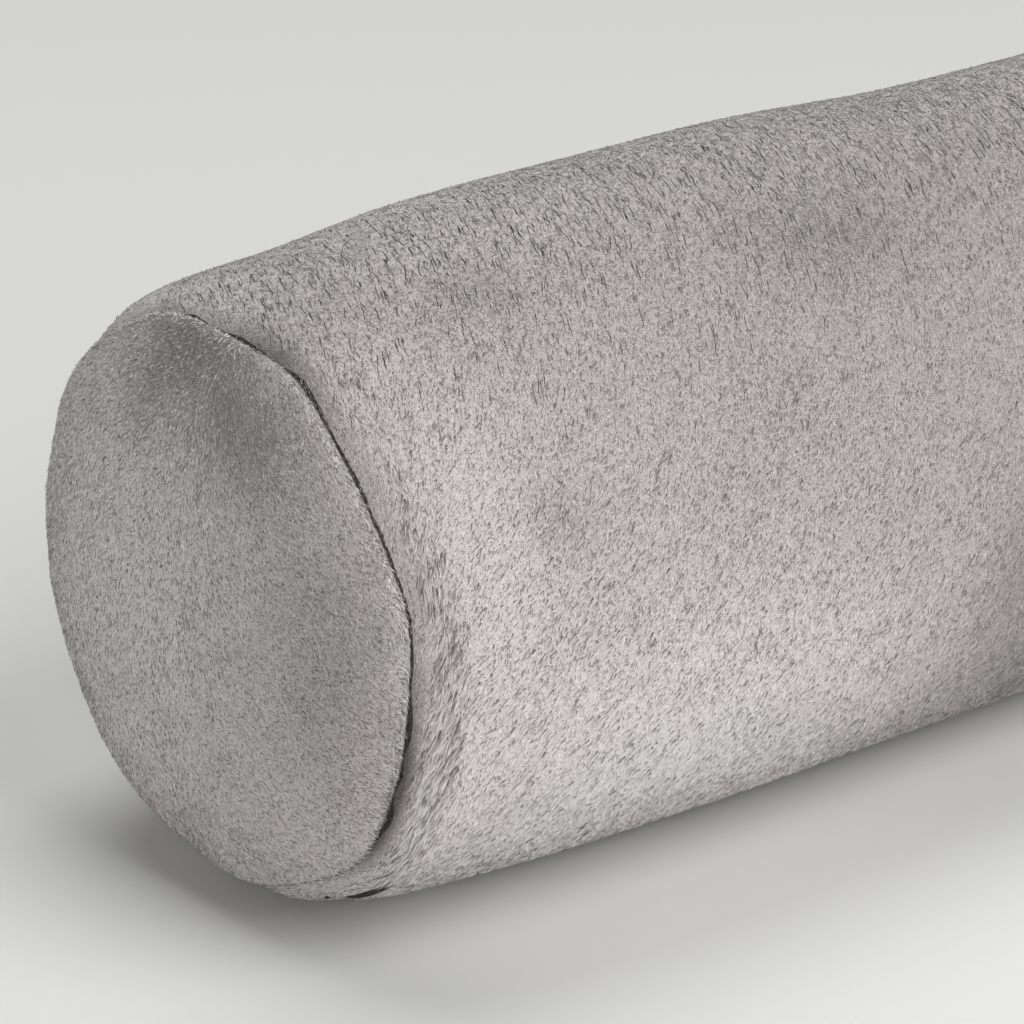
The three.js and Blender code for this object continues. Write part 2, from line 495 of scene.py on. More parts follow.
def body_cover():
    """The body's ground as a grid: its points, their normals, and each row's place."""
    skin, at = body_skin()
    normals = grid_normals(skin, from_axis(skin))
    start = skin - normals * (PILE_DEPTH + SLACK)
    swollen = filled("body", start, normals, (0, -1), flip=True) + normals * SLACK
    swollen[..., 2] = np.maximum(swollen[..., 2], FLOOR_CLEAR + PILE_DEPTH)
    fine_at = at[0] + crowded(BODY_ROWS, BODY_CROWDING) * (at[-1] - at[0])
    points = finer(swollen, np.interp(fine_at, at, np.arange(len(at))), ROUND)
    outward = from_axis(points)
    points = body_details(points, grid_normals(points, outward), fine_at)
    return points, grid_normals(points, outward), fine_at


def panel_cover(node, side):
    """An end panel's ground as a grid: its points and their normals."""
    outward = np.array([side, 0.0, 0.0])
    skin = panel_skin(node, side)
    normals = grid_normals(skin, outward)
    start = skin - normals * (PILE_DEPTH + SLACK)
    swollen = filled(node, start, normals, (-1,), side < 0, capped=True) + normals * SLACK
    middle = np.broadcast_to(swollen[0].mean(0), swollen[:1].shape)
    whole = np.concatenate([middle, swollen])
    points = finer(whole, np.linspace(PANEL_FIRST_ROW, len(whole) - 1, PANEL_ROWS), ROUND)
    return points, grid_normals(points, outward)


# Pile

# A tuft of fibres is one triangle. It lies flat, and its root is sunk in the ground
PILE_LENGTH = 1.05 * MM
PILE_WIDTH = 0.28 * MM
PILE_LEAN = 75.0
PILE_PITCH = 0.34 * MM
ROOT_SUNK = 0.1 * MM
# How unlike each other tufts are: in direction along the ground, lean, roll and size
SWAY_SPREAD = 9
LEAN_SPREAD = 7
LEAN_LIMITS = (20, 86)
ROLL_SPREAD = 32
SIZE_SPREAD = (0.75, 1.25)
# Shares of the ground's normal and of the tuft's own in its shading
GROUND_SHADING = 0.4
TUFT_SHADING = 0.8
# Tones of tufts: across a tuft, from tuft to tuft, and in streaks along the lay
TONE_SPREAD = 0.012
TONE_LIMITS = (0.001, 0.999)
TONE_GRAIN = 0.44
GRAIN_SHAPE = 2
TONE_STREAK = 0.085
STREAK_WIDTH = 0.75 * MM
STREAK_REACH = 0.9 * MM
STREAK_STEPS = 7
# Above the plain tone the grain grows, and below it the grain shrinks to a least share
PLAIN_TONE = 0.4
LIGHT_GRAIN = 1.2
LEAST_GRAIN = 0.5
# Waves in the lay, the tone and the lean: size, wavelength and step of the seed
LAY_WAVES = ((4, 26 * MM, 5), (6, 6 * MM, 6), (8, 1.4 * MM, 11))
TONE_WAVES = ((0.014, 22 * MM, 7), (0.01, 2.2 * MM, 8))
LEAN_WAVE = (3, 2 * MM, 9)
STREAK_SEED_STEP = 12
# Partings are painted shade: dark, narrow tufts that lie over the others where the pile parts, at most
# this long. They come in clusters
PARTING_LIFT = 0.12 * MM
PARTING_WIDTH_SHARE = 0.75
PARTING_LENGTH = 1.3 * PILE_LENGTH
PARTING_SHADE_TONES = (0.0, 0.12)
PARTED_SHARE = 0.055
PARTED_SPREAD = 0.25
PARTED_LENGTH = 9 * MM


def bilinear(grid, row, column):
    """Values of a grid at fractional rows and columns."""
    low = np.clip(np.floor(row).astype(int), 0, grid.shape[0] - 2)
    left = np.floor(column).astype(int)
    t = (row - low)[:, None]
    s = (column - left)[:, None]
    left = left % grid.shape[1]
    right = (left + 1) % grid.shape[1]
    top = grid[low, left] * (1 - s) + grid[low, right] * s
    under = grid[low + 1, left] * (1 - s) + grid[low + 1, right] * s
    return top * (1 - t) + under * t


def sampled(points, normals, lay, row, column):
    """Roots, normals and the lay along the ground at fractional rows and columns of a grid."""
    roots, up, lay = (bilinear(grid, row, column) for grid in (points, normals, lay))
    up = unit(up)
    return roots, up, unit(lay - up * (lay * up).sum(-1, keepdims=True))


def turned(way, side, degrees):
    """Directions turned towards a side, which is at right angles to them."""
    turn = np.radians(degrees)[:, None]
    return way * np.cos(turn) + side * np.sin(turn)


def blades(roots, up, lay, rng, *, lift, lean, length, width, tone, calm=1.0):
    """Vertices, normals and map places of one triangle for each tuft of fibres."""
    count = len(roots)
    way = turned(lay, unit(np.cross(up, lay)), rng.normal(0, SWAY_SPREAD, count) * calm)
    lean = np.clip(lean + rng.normal(0, LEAN_SPREAD, count), *LEAN_LIMITS)
    direction = turned(up, way, lean)
    flat = unit(np.cross(direction, up))
    across = turned(flat, np.cross(direction, flat), rng.normal(0, ROLL_SPREAD, count))
    half = across * (width / 2 * rng.uniform(*SIZE_SPREAD, count))[:, None]
    base = roots + up * lift[:, None]
    tip = base + direction * (length * rng.uniform(*SIZE_SPREAD, count))[:, None]
    points = np.stack([base - half, base + half, tip], 1)
    points[..., 2] = np.maximum(points[..., 2], FLOOR_CLEAR)
    face = unit(np.cross(points[:, 1] - points[:, 0], points[:, 2] - points[:, 0]))
    face *= np.sign((face * up).sum(-1, keepdims=True))
    soft = unit(up * GROUND_SHADING + face * TUFT_SHADING)
    shade = np.repeat(soft[:, None], 3, 1)
    u = np.stack([tone - TONE_SPREAD, tone + TONE_SPREAD, tone], 1).clip(*TONE_LIMITS)
    v = np.broadcast_to([0.0, 0.0, 1.0], u.shape)
    return points, shade, np.stack([u, v], -1)


def pile_mesh(name, points, normals, places):
    """Loose triangles as one mesh, with their shading normals and their places on the tones' map."""
    count = len(points)
    mesh = bpy.data.meshes.new(name)
    mesh.vertices.add(count * 3)
    mesh.vertices.foreach_set("co", points.astype(np.float32).ravel())
    mesh.loops.add(count * 3)
    mesh.loops.foreach_set("vertex_index", np.arange(count * 3, dtype=np.int32))
    mesh.polygons.add(count)
    mesh.polygons.foreach_set("loop_start", np.arange(0, count * 3, 3, dtype=np.int32))
    mesh.polygons.foreach_set("use_smooth", np.ones(count, bool))
    chart = mesh.uv_layers.new(name="OFBake")
    chart.uv.foreach_set("vector", places.astype(np.float32).ravel())
    mesh.update(calc_edges=True)
    mesh.normals_split_custom_set_from_vertices(normals.reshape(-1, 3))
    return mesh


def set_tone(mesh, tone):
    """Keeps the pile's tone at each point of a cover."""
    values = mesh.attributes.new("tone", "FLOAT", "POINT")
    values.data.foreach_set("value", np.ascontiguousarray(tone.ravel(), np.float32))


def place_piece(name, mesh, material):
    piece = bpy.data.objects.new(name, mesh)
    bpy.context.scene.collection.objects.link(piece)
    mesh.materials.append(material)
    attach(piece, "root")
    return piece


def place_pile(name, made, material):
    place_piece(name, pile_mesh(name, *made), material)


def streaks(points, lay, seed):
    """A random field of unit size, drawn out along the lay."""
    steps = np.linspace(-STREAK_REACH, STREAK_REACH, STREAK_STEPS)
    field = sum(waves(points + lay * step, STREAK_WIDTH, seed) for step in steps)
    return field / field.std()


def grain_of(count, rng):
    """Random tones round 0: many a little lighter, and a few much darker."""
    return 1 - rng.gamma(GRAIN_SHAPE, 1 / GRAIN_SHAPE, count)


def pile_for(roots, up, lay, seed, *, tone, parted, lean, length, width, grain, calm=1.0):
    """Tufts on the roots: a share of them, parted, are thin dark tufts between the others, painted shade
    where the pile parts.
    """
    rng = np.random.default_rng(seed)
    count = len(roots)
    turn = sum(size * waves(roots, across, seed + step) for size, across, step in LAY_WAVES)
    lay = turned(lay, np.cross(up, lay), turn * calm)
    grain = grain * (1 + LIGHT_GRAIN * np.clip(tone - PLAIN_TONE, 0, 1 - PLAIN_TONE))
    grain = grain * np.clip(tone / PLAIN_TONE, LEAST_GRAIN, 1)
    for size, across, step in TONE_WAVES:
        tone = tone + size * waves(roots, across, seed + step)
    tone = tone + grain * TONE_STREAK * streaks(roots, lay, seed + STREAK_SEED_STEP)
    tone = tone + grain * TONE_GRAIN * grain_of(count, rng)
    # Partings are painted shade: dark tufts where the pile parts
    gap = rng.random(count) < parted
    tone = np.where(gap, rng.uniform(*PARTING_SHADE_TONES, count), tone)
    size, across, step = LEAN_WAVE
    return blades(
        roots, up, lay, rng, calm=calm, tone=tone,
        lift=np.where(gap, PARTING_LIFT, -ROOT_SUNK),
        lean=lean + size * waves(roots, across, seed + step),
        length=np.where(gap, np.minimum(length, PARTING_LENGTH), length),
        width=np.where(gap, np.minimum(PARTING_WIDTH_SHARE * width, PILE_WIDTH), width),
    )


# The body's pile

# Rough radii of the roll: for the tufts' steps round it, and for the heights of places on it
PITCH_RADIUS = 74 * MM
ARC_RADIUS_MM = 75
# The plain tone, a little darker towards the far end, and the shade in the near groove
BODY_TONE = 0.37
FAR_SHADE = 0.05
FAR_SHADE_FROM = 60 * MM
FAR_SHADE_OVER = 130 * MM
GROOVE_SHADE = 0.25
WIDE_SHADE = 0.68
WIDE_SHADE_REACH = 2.5 * MM
# Brushed places on the body, and places of painted light and shade: a lighter top, crown, back and lower
# front, and painted shade beside the near seam at its top and low on the front towards the far end. Each
# has place, angle, half length, half height and change of tone
BODY_BRUSHED_AND_PAINTED_LIGHT_MM = (
    (50, 112, 12, 10, -0.08),
    (37, 156, 9, 9, -0.08),
    (142, 122, 24, 13, -0.08),
    (1.5, 108, 1.9, 20, -0.2),
    (205, 208, 62, 30, -0.15),
    (168, 188, 14, 14, -0.06),
    (110, 135, 80, 34, -0.05),
    (20, 160, 14, 36, 0.11),
    (72, 208, 64, 30, 0.56),
    (90, 60, 170, 30, 0.54),
    (60, 86, 60, 24, 0.12),
    (210, 80, 110, 30, 0.22),
    (200, 5, 260, 55, 0.16),
)
# Ruffled places on the body with more partings: place, angle, half length and half height
BODY_RUFFLED_MM = (
    (50, 112, 12, 8),
    (38, 157, 7, 8),
    (142, 122, 22, 10),
    (100, 150, 16, 12),
)
# The lay's drift to the near end: more on the front, and less beside the near seam
DRIFT = 30
FRONT_DRIFT = 15
FRONT_DRIFT_FROM = 115
FRONT_DRIFT_OVER = 40
SEAM_DRIFT_LOSS = 0.6
SEAM_DRIFT_REACH = 12 * MM
# Parts of the body's pile, by the angles they start and end at
BODY_SECTORS = {
    "crown": (30, 76),
    "shoulder": (76, 116),
    "front": (116, 156),
    "apron": (156, 196),
    "foot": (196, 240),
    "belly": (240, 310),
    "back": (310, 390),
}
# The photograph's side has all the tufts, and the rest of the body and the belly have these shares
THIN_SHARE = 0.23
BELLY_SHARE = 0.12
BELLY_ANGLE = 272
BELLY_SPAN = 26
# That side: its middle angle, the turns from there over which it ends at the back and underneath, and
# how much further underneath it ends close to the near seam
SEEN_ANGLE = 153
SEEN_BACK = (-106, -90)
SEEN_UNDER = (79, 92)
SEEN_LOWER = 28
SEEN_LOWER_ENDS = (16 * MM, 34 * MM)
# How far along the body it reaches: least at one turn, and more by the square of the way from there
SEEN_REACH_MM = 168
SEEN_REACH_TURN = 24
SEEN_REACH_GROWTH = 0.0105
SEEN_REACH_MOST_MM = 255
SEEN_FADE = 45 * MM
# Fewer tufts are larger ones, by this power of their share. Tufts near a seam are trimmed, over a longer
# way where it gapes, and none stand right at a seam or in the mouth
SIZE_POWER = -0.35
TRIM_FROM = 0.1 * MM
TRIM_OVER_MM = 0.6
WIDE_TRIM_OVER_MM = 2.4
TRIM_LEAST = 0.6
SEAM_BARE = 0.25 * MM
MOUTH_MARGIN = 0.3 * MM
# Shaggy tufts beside the near seam, in ridges of some strength, and how much longer they are
SHAGGY_PLACE = 6.0 * MM
SHAGGY_REACH = 3.2 * MM
SHAGGY_RIDGES = ((0.25, 165, 30), (0.9, 200, 15))
SHAGGY_LENGTH = 1.3
# Partings added where the pile is shaggy or ruffled and at the top, and the share left for thin pile
SHAGGY_PARTED = 0.10
RUFFLED_PARTED = 0.07
TOP_PARTED = 0.07
THIN_PARTED = 0.4
# The grain grows at the top and where the seam gapes, and shrinks towards the far end and in thin pile
TOP_GRAIN = 0.5
WIDE_GRAIN = 1.4
WIDE_GRAIN_REACH = 3 * MM
FAR_GRAIN_LOSS = 0.4
FAR_GRAIN_ENDS = (100 * MM, 180 * MM)
THIN_GRAIN = 0.5
# The top has larger, calmer tufts. Behind it, the pile lies flatter
TOP_ANGLE = 75
TOP_SPAN = 35
TOP_SIZE = 0.2
TOP_CALM = 0.55
BACK_LEAN = (7, 40, 55)
# The brow, from the back up to the roll's top edge in the photograph, is smoother and lies flatter
BROW_ANGLE = 10
BROW_ENDS = (56, 82)
BROW_GRAIN_LOSS = 0.35
BROW_PARTED_LOSS = 0.8
BROW_LEAN = 4


def spot_share(place, angle, at, turn, long, high):
    """How much a place on the body belongs to a spot, whose place and size are in mm."""
    round_off = np.radians(turn_between(angle, turn)) * ARC_RADIUS_MM
    return bell((place / MM - at) / long) * bell(round_off / high)


def body_tone(place, angle):
    """The tone of the body's tufts by place: painted shade in the near groove, brushed places, and
    painted light and shade in places.
    """
    tone = BODY_TONE - FAR_SHADE * np.clip((place - FAR_SHADE_FROM) / FAR_SHADE_OVER, 0, 1)
    tone = tone - GROOVE_SHADE * bell(place / GROOVE_REACH)
    tone = tone - WIDE_SHADE * bell(place / WIDE_SHADE_REACH) * wide_share(angle)
    # Brushed places, and painted light and shade in places
    for *spot, change in BODY_BRUSHED_AND_PAINTED_LIGHT_MM:
        tone = tone + change * spot_share(place, angle, *spot)
    return tone


def partings(roots, seed):
    """The share of partings, which come in clusters."""
    return PARTED_SHARE * np.exp(PARTED_SPREAD * waves(roots, PARTED_LENGTH, seed))


def body_lay(points, at):
    """The body's pile lies from its back over its top and down its front, drifting to the near end."""
    around = unit(np.roll(points, -1, axis=1) - np.roll(points, 1, axis=1))
    angle = round_angles(points.shape[1])[None, :]
    front = np.clip((angle - FRONT_DRIFT_FROM) / FRONT_DRIFT_OVER, 0, 1)
    away = 1 - SEAM_DRIFT_LOSS * bell(at / SEAM_DRIFT_REACH)[:, None]
    drift = np.radians((DRIFT + FRONT_DRIFT * front) * away)[..., None]
    return around * np.cos(drift) - np.array([1.0, 0, 0]) * np.sin(drift)


def grid_place(body, place, angle):
    """Fractional rows and columns of the body's grid."""
    points, _, at = body
    return np.interp(place, at, np.arange(len(at))), (angle % 360) / 360 * points.shape[1]


def on_body(body, place, angle):
    """Roots, normals and lay at places and angles on the body."""
    points, normals, at = body
    return sampled(points, normals, body_lay(points, at), *grid_place(body, place, angle))


def body_share(place, angle):
    """How many of the tufts are kept: all on the photograph's side, fewer and larger ones elsewhere."""
    off = turn_between(angle, SEEN_ANGLE)
    lower = SEEN_LOWER * (1 - smooth_step(place, *SEEN_LOWER_ENDS))
    facing = smooth_step(off, *SEEN_BACK) * (1 - smooth_step(off - lower, *SEEN_UNDER))
    reach = SEEN_REACH_MM + SEEN_REACH_GROWTH * (off - SEEN_REACH_TURN) ** 2
    near = 1 - smooth_step(place - np.minimum(reach, SEEN_REACH_MOST_MM) * MM, 0, SEEN_FADE)
    under = round_bell(angle, BELLY_ANGLE, BELLY_SPAN)
    return THIN_SHARE + (1 - THIN_SHARE) * facing * near - (THIN_SHARE - BELLY_SHARE) * under


def tuft_size(share):
    return share**SIZE_POWER


def seam_distance(place):
    """The distance from the seam at the nearer end."""
    return np.minimum(place, 2 * SEAM_X - place)


def trimmed(place, angle):
    """The size of a tuft by its distance from a seam."""
    over = (TRIM_OVER_MM + WIDE_TRIM_OVER_MM * wide_share(angle)) * MM
    return np.clip((seam_distance(place) - TRIM_FROM) / over, TRIM_LEAST, 1)


def shaggy_share(place, angle):
    """Longer, clumped tufts stand beside the near seam, most where it gapes."""
    beside = bell((place - SHAGGY_PLACE) / SHAGGY_REACH)
    return beside * sum(ridge(angle, *values) for values in SHAGGY_RIDGES)


def in_mouth(place, angle):
    off = np.abs(place - MOUTH_PLACE - MOUTH_MARGIN)
    return off < (MOUTH_HALF + MOUTH_MARGIN) * mouth_share(angle)


def blended(least, share):
    """From a least value for a share of 0 to 1 for a share of 1."""
    return least + (1 - least) * share


def sown(at, first, last, rng):
    """Places and angles of the tufts that are kept between two angles."""
    pace = 360 * PILE_PITCH / (2 * math.pi * PITCH_RADIUS)
    steps = np.arange(at[0], at[-1], PILE_PITCH), np.arange(first, last, pace)
    place, angle = (grid.ravel() for grid in np.meshgrid(*steps, indexing="ij"))
    place = place + rng.uniform(0, PILE_PITCH, place.size)
    angle = angle + rng.uniform(0, pace, angle.size)
    kept = rng.random(place.size) < body_share(place, angle)
    kept &= (seam_distance(place) > SEAM_BARE) & ~in_mouth(place, angle)
    return place[kept], angle[kept]


def body_tufts(roots, place, angle):
    """The body's tufts by place, as pile_for takes them."""
    share = body_share(place, angle)
    shaggy = shaggy_share(place, angle)
    top = round_bell(angle, TOP_ANGLE, TOP_SPAN)
    brow = 1 - smooth_step(np.abs(turn_between(angle, BROW_ANGLE)), *BROW_ENDS)
    ruffled = sum(spot_share(place, angle, *spot) for spot in BODY_RUFFLED_MM)
    parted = partings(roots, SEED + 70) + SHAGGY_PARTED * shaggy + RUFFLED_PARTED * ruffled
    parted = (parted + TOP_PARTED * top) * blended(THIN_PARTED, share)
    size = tuft_size(share) * trimmed(place, angle) * (1 + TOP_SIZE * top)
    grain = 1 + TOP_GRAIN * top - FAR_GRAIN_LOSS * smooth_step(place, *FAR_GRAIN_ENDS)
    grain = grain + WIDE_GRAIN * bell(place / WIDE_GRAIN_REACH) * wide_share(angle)
    return {
        "tone": body_tone(place, angle),
        "parted": parted * (1 - BROW_PARTED_LOSS * brow),
        "lean": PILE_LEAN + ridge(angle, *BACK_LEAN) + BROW_LEAN * brow,
        "length": PILE_LENGTH * size * (1 + SHAGGY_LENGTH * shaggy),
        "width": PILE_WIDTH * size,
        "grain": grain * blended(THIN_GRAIN, share) * (1 - BROW_GRAIN_LOSS * brow),
        "calm": 1 - TOP_CALM * top,
    }


def body_pile(body, material):
    rng = np.random.default_rng(SEED + 50)
    for name, (first, last) in BODY_SECTORS.items():
        place, angle = sown(body[2], first, last, rng)
        roots, up, lay = on_body(body, place, angle)
        made = pile_for(roots, up, lay, SEED + 60, **body_tufts(roots, place, angle))
        place_pile("pile_body_" + name, made, material)


# Strands, cracks and furrows

# Beside the near seam, by middle and spread: where most lie, where the others lie, and how far from it
GAPING_SHARE = 0.75
GAPING_ANGLES = (203, 12)
UPPER_ANGLES = (168, 14)
LOWEST_ANGLE = 226
BESIDE_MM = (5.0, 1.9)
BESIDE_LEAST = 1.6 * MM
# Strands of tufts that draw together
STRANDS = 260
STRAND_TUFTS = 9
STRAND_LENGTH = 3.4 * MM
STRAND_WIDTH = 0.34 * MM
STRAND_SPREAD_ANGLE = 0.35
STRAND_SPREAD = 0.22 * MM
STRAND_DRAW = 0.25 / MM
STRAND_LIGHT = 0.1
STRAND_GRAIN_SHIFT = -0.4
STRAND_LIFT = 0.15 * MM
STRAND_LEAN = 2
# Cracks: strewn over the photograph's side, then those beside the near seam
# Cracks are painted shade: dark strips that lie over the pile where it parts
CRACKS = (5200, 120)
CRACK_PLACES_MM = (3, 240)
CRACK_ANGLES = (80, 235)
CRACK_LENGTHS_MM = ((0.9, 2.5), (2.0, 3.6))
CRACK_WIDTHS = (0.3 * MM, 0.36 * MM)
CRACK_LIFTS = (0.34 * MM, 0.6 * MM)
CRACK_LEAN = 90.0
# Furrows over the top: where they start, with angles by middle and spread, their length, bends, tilt
# from the way round towards the near end, width and tones
# Furrows are painted shade: dark strips that lie over the top's pile where it parts
FURROWS = 2200
FURROW_STEPS = 4
FURROW_PLACES_MM = (3, 250)
FURROW_LEAST_PLACE = 1.2 * MM
FURROW_ANGLES = (94, 18)
FURROW_LEAST_ANGLE = 68
FURROW_LENGTHS_MM = (2, 7)
FURROW_BEND = 0.14 * MM
FURROW_BENDS = 1.2
FURROW_TILT = 24
FURROW_TILT_SPREAD = 4
FURROW_HALF_MM = (0.05, 0.1)
FURROW_BLUNTNESS = 0.6
FURROW_LIFT = 0.07 * MM
FURROW_TONES = (0.06, 0.36)


def beside_seam(count, rng):
    """Places and angles beside the near seam, most of them where it gapes."""
    gaping = rng.random(count) < GAPING_SHARE
    angle = np.where(gaping, rng.normal(*GAPING_ANGLES, count), rng.normal(*UPPER_ANGLES, count))
    place = np.abs(rng.normal(*BESIDE_MM, count)) * MM + BESIDE_LEAST
    return place, np.minimum(angle, LOWEST_ANGLE)


def strand_pile(body, material):
    """Longer strands beside the near seam, each of tufts that draw together."""
    rng = np.random.default_rng(SEED + 120)
    place, angle = (np.repeat(v, STRAND_TUFTS) for v in beside_seam(STRANDS, rng))
    count = STRANDS * STRAND_TUFTS
    angle = angle + rng.normal(0, STRAND_SPREAD_ANGLE, count)
    place = place + rng.normal(0, STRAND_SPREAD, count)
    roots, up, lay = on_body(body, place, angle)
    strands = roots.reshape(STRANDS, STRAND_TUFTS, 3)
    draw = (strands.mean(1, keepdims=True) - strands).reshape(-1, 3) * STRAND_DRAW
    grain = grain_of(count, rng) + STRAND_GRAIN_SHIFT
    made = blades(
        roots, up, unit(lay + draw), rng,
        tone=body_tone(place, angle) + STRAND_LIGHT + TONE_GRAIN * grain,
        lift=rng.uniform(0, STRAND_LIFT, count),
        lean=PILE_LEAN + STRAND_LEAN,
        length=STRAND_LENGTH,
        width=STRAND_WIDTH,
    )
    place_pile("pile_strands", made, material)


def crack_pile(body, material):
    """Long dark strips of painted shade in the cracks between tufts, strewn over the body and crowded
    beside the near seam.
    """
    rng = np.random.default_rng(SEED + 130)
    strewn = rng.uniform(*CRACK_PLACES_MM, CRACKS[0]) * MM, rng.uniform(*CRACK_ANGLES, CRACKS[0])
    place, angle = np.concatenate([strewn, beside_seam(CRACKS[1], rng)], 1)
    lengths = [rng.uniform(*ends, count) for ends, count in zip(CRACK_LENGTHS_MM, CRACKS)]
    roots, up, lay = on_body(body, place, angle)
    made = blades(
        roots, up, lay, rng,
        tone=rng.uniform(*PARTING_SHADE_TONES, len(place)),
        lift=np.repeat(CRACK_LIFTS, CRACKS),
        lean=CRACK_LEAN,
        length=np.concatenate(lengths) * MM,
        width=np.repeat(CRACK_WIDTHS, CRACKS),
    )
    place_pile("pile_crack_shade", made, material)


def ribbons(left, right, up):
    """Triangles, and their normals, of strips between rows of left and right points."""
    lower = np.stack([left[:, :-1], right[:, :-1], right[:, 1:]], 2)
    upper = np.stack([left[:, :-1], right[:, 1:], left[:, 1:]], 2)
    shade = np.stack([up[:, :-1], up[:, :-1], up[:, 1:]], 2)
    points = np.concatenate([lower, upper], 1).reshape(-1, 3, 3)
    return points, np.concatenate([shade, shade], 1).reshape(-1, 3, 3)


def furrow_paths(share, rng):
    """Places and angles along each furrow, which winds over the top towards the near end."""
    first = rng.uniform(*FURROW_PLACES_MM, FURROWS)[:, None] * MM
    start = np.maximum(rng.normal(*FURROW_ANGLES, FURROWS), FURROW_LEAST_ANGLE)[:, None]
    along = rng.uniform(*FURROW_LENGTHS_MM, FURROWS)[:, None] * MM * share
    phase = FURROW_BENDS * share + rng.uniform(0, 1, FURROWS)[:, None]
    bend = FURROW_BEND * np.sin(2 * math.pi * phase)
    tilt = np.radians(FURROW_TILT + rng.normal(0, FURROW_TILT_SPREAD, FURROWS))[:, None]
    place = first - along * np.sin(tilt) + bend * np.cos(tilt)
    arc = along * np.cos(tilt) + bend * np.sin(tilt)
    return np.maximum(place, FURROW_LEAST_PLACE), start + np.degrees(arc / PITCH_RADIUS)


def furrow_pile(body, material):
    """Long, winding partings over the top, each a narrow strip of dark triangles along the lay, as
    painted shade.
    """
    rng = np.random.default_rng(SEED + 140)
    share = np.linspace(0, 1, FURROW_STEPS)
    place, angle = furrow_paths(share, rng)
    roots, up, lay = on_body(body, place.ravel(), angle.ravel())
    taper = np.sin(math.pi * share) ** FURROW_BLUNTNESS
    half = rng.uniform(*FURROW_HALF_MM, FURROWS)[:, None] * MM * taper
    side = np.cross(up, lay) * half.ravel()[:, None]
    middle = roots + up * FURROW_LIFT
    rows = (grid.reshape(FURROWS, FURROW_STEPS, 3) for grid in (middle - side, middle + side, up))
    points, shade = ribbons(*rows)
    tone = np.repeat(rng.uniform(*FURROW_TONES, FURROWS), 2 * (FURROW_STEPS - 1))
    u = np.broadcast_to(tone[:, None], (len(tone), 3))
    place_pile("pile_furrow_shade", (points, shade, np.stack([u, np.ones_like(u)], -1)), material)


# The end panels' pile

# By side, -1 for the near panel and 1 for the far one, which is out of the photograph and plainer
PANEL_SHARE = {-1: 1.25, 1: 0.3}
PANEL_GRAIN = {-1: 2.1, 1: 1.3}
BRUSHED_SHARE = {-1: 1.0, 1: 0.3}
PANEL_TONE = 0.48
PANEL_PARTED = 1.3
PANEL_LEAN = 2
PANEL_BARE = 0.2 * MM
LEAST_RING = 6
# Brushed places on a panel: behind its middle, above it, half width, half height and change of tone
PANEL_BRUSHED_MM = (
    (2, 62, 16, 10, -0.30),
    (-12, 48, 16, 16, -0.24),
    (-30, 46, 14, 16, -0.17),
    (15, 47, 12, 13, -0.22),
    (-42, 6, 14, 40, -0.12),
    (-56, -2, 12, 46, -0.15),
    (-10, -52, 34, 9, -0.08),
    (25, -15, 28, 36, 0.14),
    (40, -8, 14, 30, 0.12),
)
# The lay of its back and front halves, which blend over an upright line: the turn from straight up by
# way of the front, and how much it grows for each mm above the middle
LAY_LINE_MM = -7
LAY_BLEND_MM = 6
BACK_LAY = (176, 0.8)
FRONT_LAY = (112, 0.33)
# Tufts at the rim stand up and are longer, most at the front. At the top the rim's lip is lighter, a
# painted highlight
RIM_REACH = 1.8 * MM
RIM_LEAST = 0.3
RIM_ANGLE = 195
RIM_SPAN = 48
RIM_RISE = 34
RIM_LENGTH = 0.6
LIP_PLACE = 1.4 * MM
LIP_REACH = 1.3 * MM
LIP_HIGHLIGHT = (0.2, 105, 32)


def panel_place_mm(points):
    """How far points lie behind a panel's middle and above it."""
    return points[..., 1] / MM, (points[..., 2] - AXIS_Z) / MM


def panel_tone(roots, side):
    """The tone of an end panel's tufts by place, plainer on the far panel."""
    tone = np.full(len(roots), PANEL_TONE)
    across, rise = panel_place_mm(roots)
    for back, above, wide, high, change in PANEL_BRUSHED_MM:
        spot = bell((across - back) / wide) * bell((rise - above) / high)
        tone += BRUSHED_SHARE[side] * change * spot
    return tone


def panel_lay(points):
    """Directions that fan out: down on the panel's back half and to the front on its front half."""
    across, rise = panel_place_mm(points)
    back_share = 1 / (1 + np.exp(-(across - LAY_LINE_MM) / LAY_BLEND_MM))
    back, front = (turn + growth * rise for turn, growth in (BACK_LAY, FRONT_LAY))
    turn = np.radians(back_share * back + (1 - back_share) * front)
    return np.stack([np.zeros_like(turn), -np.sin(turn), np.cos(turn)], -1)


def panel_sown(length, radius, pitch):
    """Tufts in rings a pitch apart: distances from the panel's middle and shares of a turn."""
    rng = np.random.default_rng(SEED + 90)
    place, turn = [], []
    for step in np.arange(pitch / 2, length[-1] - PANEL_BARE, pitch):
        count = max(int(2 * math.pi * np.interp(step, length, radius) / pitch), LEAST_RING)
        place.append(step + rng.uniform(-0.5, 0.5, count) * pitch)
        turn.append((np.arange(count) + rng.uniform(0, 1, count)) / count)
    return np.concatenate(place), np.concatenate(turn)


